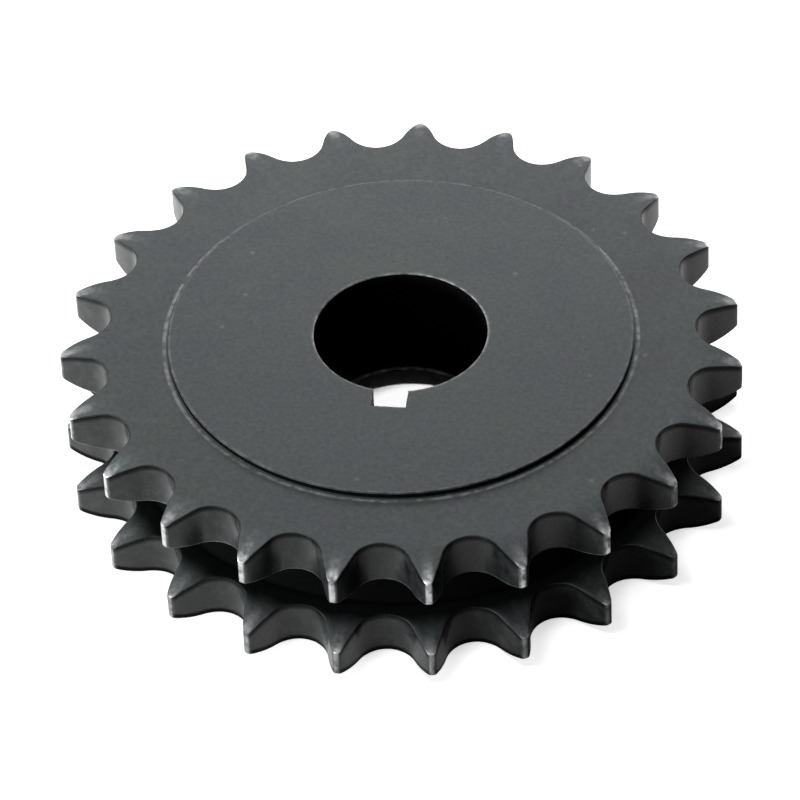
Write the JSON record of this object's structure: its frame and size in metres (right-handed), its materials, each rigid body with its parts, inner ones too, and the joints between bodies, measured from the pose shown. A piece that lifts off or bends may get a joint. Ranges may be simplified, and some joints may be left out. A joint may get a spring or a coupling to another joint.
{
  "type": "duplex roller chain sprocket",
  "caption": "Blackened steel chain sprocket with two rows of teeth on one solid body, a groove between the rows, a low raised face and a keyed centre bore.",
  "frame": {"origin": "on the shaft axis, in the plane of the underside that the sprocket rests on", "axes": "+Z along the shaft axis towards the raised face, keyway towards -Y"},
  "size_m": [0.0979, 0.0981, 0.0219],
  "materials": {
    "blackened_steel": "matt black oxide over turned and milled steel, with fine mottling and lighter worn edges"
  },
  "bodies": {
    "root": {"sprocket": "blackened_steel"}
  },
  "joints": []
}
